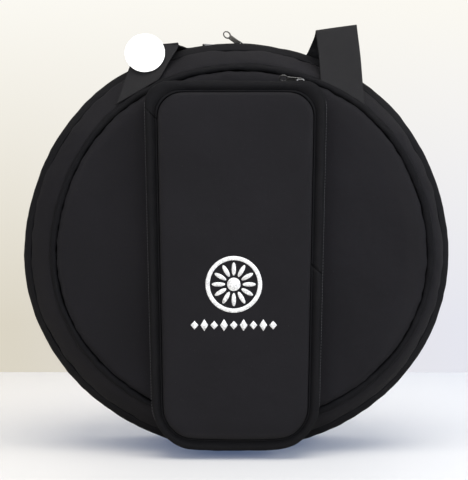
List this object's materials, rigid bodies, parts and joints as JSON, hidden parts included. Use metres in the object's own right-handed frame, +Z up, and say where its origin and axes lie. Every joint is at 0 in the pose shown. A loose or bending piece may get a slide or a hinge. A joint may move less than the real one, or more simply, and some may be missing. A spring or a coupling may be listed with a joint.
{
  "type": "snare drum and cymbal bag",
  "caption": "Round padded soft case standing on its rim, with a zipped lid, a zipped stick pocket on its face, a webbing handle and a round hang tag.",
  "frame": {"origin": "on the floor below the middle of the bag's bounding box", "axes": "+Z up, the face and its pocket towards -Y, the bag's width along X"},
  "size_m": [0.5394, 0.2022, 0.5355],
  "materials": {
    "padded_fabric": "black woven polyester laminated on foam, matt with a slight sheen",
    "edge_band": "black fine-textured edge band",
    "lining": "black thin nylon lining",
    "foam": "grey closed-cell foam",
    "piping": "black fabric piping",
    "zip_tape": "black zip tape with nylon coil",
    "webbing": "black ribbed webbing",
    "metal": "dull nickel-plated zip metal",
    "card": "white coated card",
    "nylon": "translucent white nylon pin"
  },
  "bodies": {
    "back_shell": {"back_gusset": "padded_fabric", "back_gusset_lining": "lining", "back_panel_cover": "padded_fabric", "back_panel_foam": "foam", "back_panel_lining": "lining", "back_seam_piping": "piping", "main_zip_back": "zip_tape", "hinge_strip": "zip_tape", "zip_end_tab_left": "zip_tape", "zip_end_tab_right": "zip_tape"},
    "divider": {"divider_pad": "padded_fabric", "divider_binding_front": "zip_tape", "divider_binding_back": "zip_tape", "divider_hinge_tape": "zip_tape"},
    "lid": {"front_gusset": "padded_fabric", "front_gusset_lining": "lining", "front_panel_cover": "padded_fabric", "front_panel_foam": "foam", "front_panel_lining": "lining", "front_seam_roll": "piping", "rim_band": "edge_band", "main_zip_front": "zip_tape", "handle_leg_left": "webbing", "handle_leg_right": "webbing", "tag_pin": "nylon", "pocket_back": "padded_fabric", "pocket_rear_wall": "padded_fabric", "pocket_lower_wall": "padded_fabric", "pocket_lower_face": "padded_fabric", "pocket_lower_piping": "piping", "pocket_zip_rear": "zip_tape", "pocket_zip_end_patch": "zip_tape"},
    "pocket_flap": {"pocket_flap_face": "padded_fabric", "pocket_flap_wall": "padded_fabric", "pocket_flap_piping": "piping", "pocket_zip_flap": "zip_tape"},
    "handle": {"handle_middle": "webbing"},
    "pocket_slider": {"pocket_slider": "metal"},
    "pocket_pull": {"pocket_pull": "metal"},
    "main_slider_right": {"main_slider_right": "metal"},
    "main_slider_left": {"main_slider_left": "metal"},
    "main_pull_right": {"main_pull_right": "metal"},
    "main_pull_left": {"main_pull_left": "metal"},
    "hang_tag": {"hang_tag": "card"}
  },
  "joints": [
    {"name": "lid_opening", "type": "hinge", "parent": "back_shell", "child": "lid", "pos_m": [0, -0.00285, 0], "axis": [1, 0, 0], "range_deg": [0, 170]},
    {"name": "divider_lean", "type": "hinge", "parent": "back_shell", "child": "divider", "pos_m": [0, 0.04015, 0.0092], "axis": [1, 0, 0], "range_deg": [-4, 6]},
    {"name": "handle_swing", "type": "hinge", "parent": "lid", "child": "handle", "pos_m": [0.01446, -0.03485, 0.52261], "axis": [0.9964, 0, 0.0846], "range_deg": [0, 85]},
    {"name": "pocket_flap_opening", "type": "hinge", "parent": "lid", "child": "pocket_flap", "pos_m": [-0.096, -0.10115, 0.412], "axis": [0.7287, 0, -0.6848], "range_deg": [0, 150]},
    {"name": "pocket_zip_travel", "type": "slide", "parent": "lid", "child": "pocket_slider", "axis": [-1, 0, 0], "range_m": [0, 0.155]},
    {"name": "pocket_pull_flip", "type": "hinge", "parent": "pocket_slider", "child": "pocket_pull", "pos_m": [0.07952, -0.07615, 0.4601], "axis": [0, 1, 0], "range_deg": [0, 150]},
    {"name": "main_zip_right_travel", "type": "hinge", "parent": "lid", "child": "main_slider_right", "pos_m": [0, -0.00285, 0.2465], "axis": [0, 1, 0], "range_deg": [0, 90]},
    {"name": "main_zip_left_travel", "type": "hinge", "parent": "lid", "child": "main_slider_left", "pos_m": [0, -0.00285, 0.2465], "axis": [0, -1, 0], "range_deg": [0, 90]},
    {"name": "main_pull_right_flip", "type": "hinge", "parent": "main_slider_right", "child": "main_pull_right", "pos_m": [0.00968, -0.00285, 0.51423], "axis": [0, 1, 0], "range_deg": [0, 130]},
    {"name": "main_pull_left_flip", "type": "hinge", "parent": "main_slider_left", "child": "main_pull_left", "pos_m": [-0.00968, -0.00285, 0.51423], "axis": [0, 1, 0], "range_deg": [0, 55]},
    {"name": "tag_swing", "type": "hinge", "parent": "lid", "child": "hang_tag", "pos_m": [-0.11342, -0.04054, 0.51027], "axis": [0.0142, -0.9827, 0.1848], "range_deg": [-35, 35]}
  ]
}
